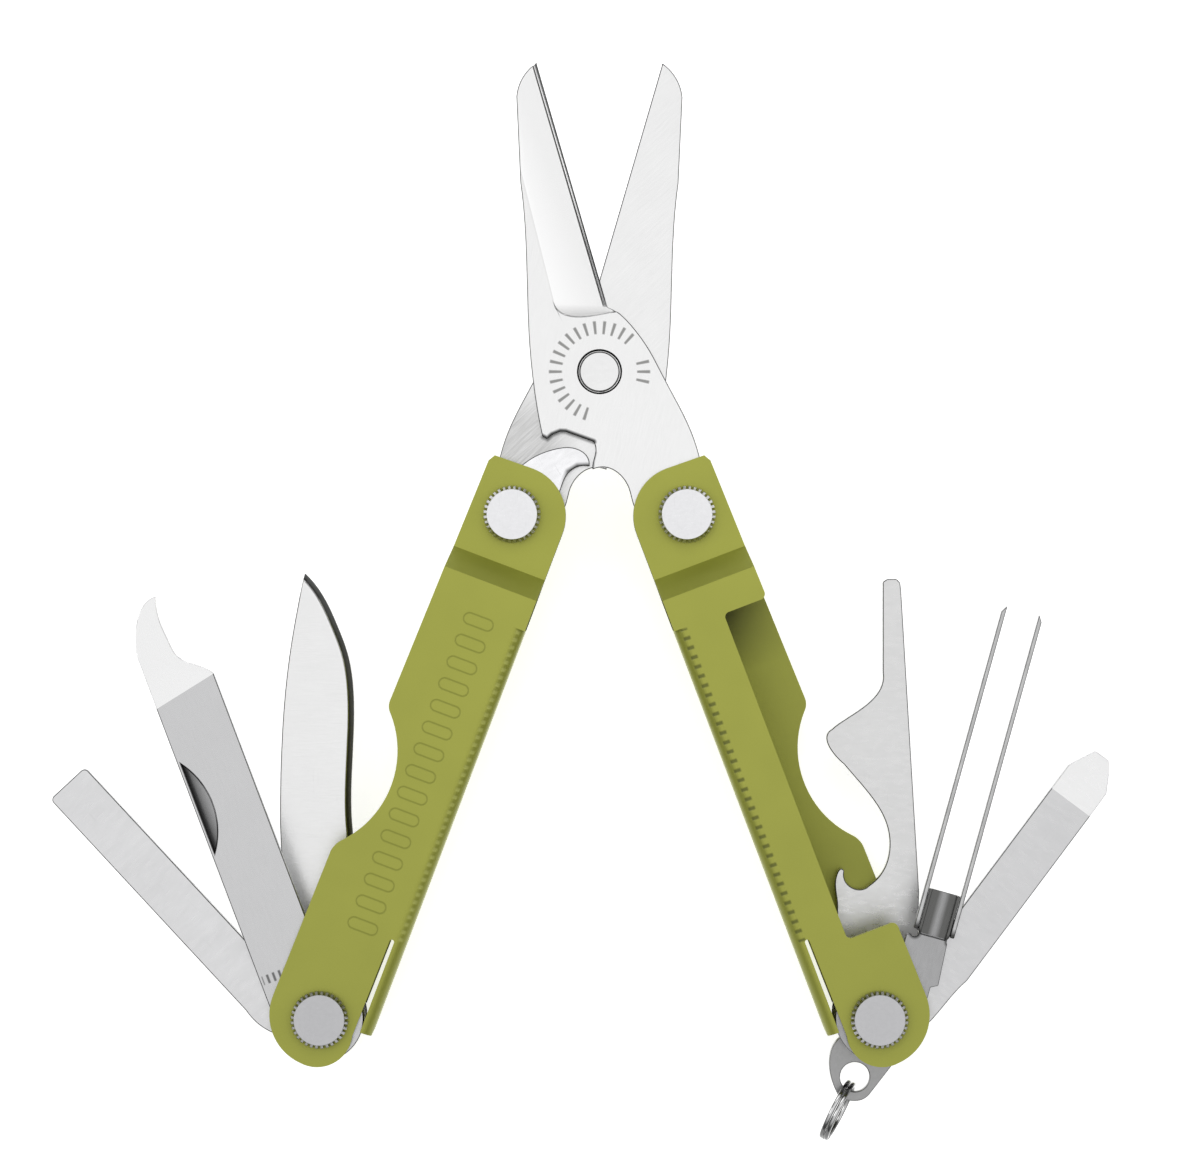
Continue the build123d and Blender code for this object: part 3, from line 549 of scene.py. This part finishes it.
# Painted shade round the notches at the arms' roots.
for place in (1.15, 4.85):
    from_root = cradle.math("SUBTRACT", cradle.x, place), cradle.math("SUBTRACT", cradle.y, 9.2)
    root = cradle.length(*from_root)
    shade(cradle, cradle.ranged(root, 0.45, 0.75, 0.9, 0.0))
dress("tweezer_base", finish_steel(cradle), 0.06, 1, True)
for name in ("tweezer_arm_left", "tweezer_arm_right"):
    arm = steel(name, TWEEZERS_TURN, END_PINS["right"], (200, 200, 200), 0.22, (3.0, 1.1), 0.5, 0.8)
    # Painted shade where the arm goes into the cradle.
    shade(arm, arm.ranged(arm.y, 9.9, 10.6, 0.9, 0.0))
    dress(name, finish_steel(arm), 0.07)
tab = steel("tab", 0, END_PINS["right"], (162, 162, 162), 0.3, (2.0, 2.0), 0.15, 0.4)
dress("lanyard_tab", finish_steel(tab))


# --- Split ring: a two-turn coil of flattened wire ------------------------------------------------

RING_R = 2.95
RING_REACH = 3.75               # from the eye to the ring's middle
RING_HANG = math.radians(-116.5)
RING_TILT = math.radians(10)
HALF_WIRE = (0.28, 0.22)        # radial and axial halves of the wire's section
TURN_SHIFT = 0.25               # axial shift of each turn from the middle


def coil():
    """Mesh of the coil: two turns that cross over opposite the tab, with a cut at both ends."""
    hang = Vector((math.cos(RING_HANG), math.sin(RING_HANG), 0))
    side = Vector((-hang.y, hang.x, 0))
    axis = (side * math.cos(RING_TILT) + Vector((0, 0, math.sin(RING_TILT)))).normalized()
    up = axis.cross(hang)
    middle = EYE + hang * RING_REACH
    steps, section = 240, 12
    gap = 0.2                   # angle that each end stops short of the cross-over, in radians
    points, faces = [], []
    for i in range(steps + 1):
        t = gap + (4 * math.pi - 2 * gap) * i / steps
        ramp = min(1.0, max(0.0, (t - 2 * math.pi + gap) / (2 * gap)))
        shift = TURN_SHIFT * (2 * ramp * ramp * (3 - 2 * ramp) - 1)
        outward = hang * math.cos(t) + up * math.sin(t)
        for j in range(section):
            a = 2 * math.pi * (j + 0.5) / section
            # A squared circle: flat sides with rounded corners.
            x = math.copysign(abs(math.cos(a)) ** 0.6, math.cos(a)) * HALF_WIRE[0]
            y = math.copysign(abs(math.sin(a)) ** 0.6, math.sin(a)) * HALF_WIRE[1]
            points.append((middle + outward * (RING_R + x) + axis * (shift + y)) * MM)
        if i:
            low, high = (i - 1) * section, i * section
            for j in range(section):
                k = (j + 1) % section
                faces.append((low + j, low + k, high + k, high + j))
    faces.append(tuple(range(section))[::-1])
    faces.append(tuple(steps * section + j for j in range(section)))
    mesh = bpy.data.meshes.new("ring_coil")
    mesh.from_pydata(points, [], faces)
    mesh.validate()
    mesh.polygons.foreach_set("use_smooth", [len(f.vertices) == 4 for f in mesh.polygons])
    made = bpy.data.objects.new("ring_coil", mesh)
    bpy.context.scene.collection.objects.link(made)
    return made


ring_piece = coil()
ring_steel = steel("ring", 0, END_PINS["right"], (214, 214, 214), 0.08, (0.8, 0.8), 0.1, 0.8)
ring_piece.data.materials.append(finish_steel(ring_steel, None, 0.01))
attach(ring_piece, "ring")
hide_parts("split_ring")


# --- Floor ----------------------------------------------------------------------------------------

floor_mesh = bpy.data.meshes.new("floor")
half, drop = 3.0, -0.0002        # metres; the drop keeps the paper clear of the handles
corners = [(-half, -half, drop), (half, -half, drop), (half, half, drop), (-half, half, drop)]
floor_mesh.from_pydata(corners, [], [(0, 1, 2, 3)])
floor = bpy.data.objects.new("floor", floor_mesh)
bpy.context.scene.collection.objects.link(floor)
paper = Shader(
    "paper", metallic=0.0, roughness=0.9, Emission_Color=(1, 1, 1, 1), Emission_Strength=0.6
)
paper.colour(paper.blend(paper.noise(paper.place, 300.0, 3.0), (0.8, 0.8, 0.8), (0.84, 0.84, 0.84)))
floor_mesh.materials.append(paper.material)
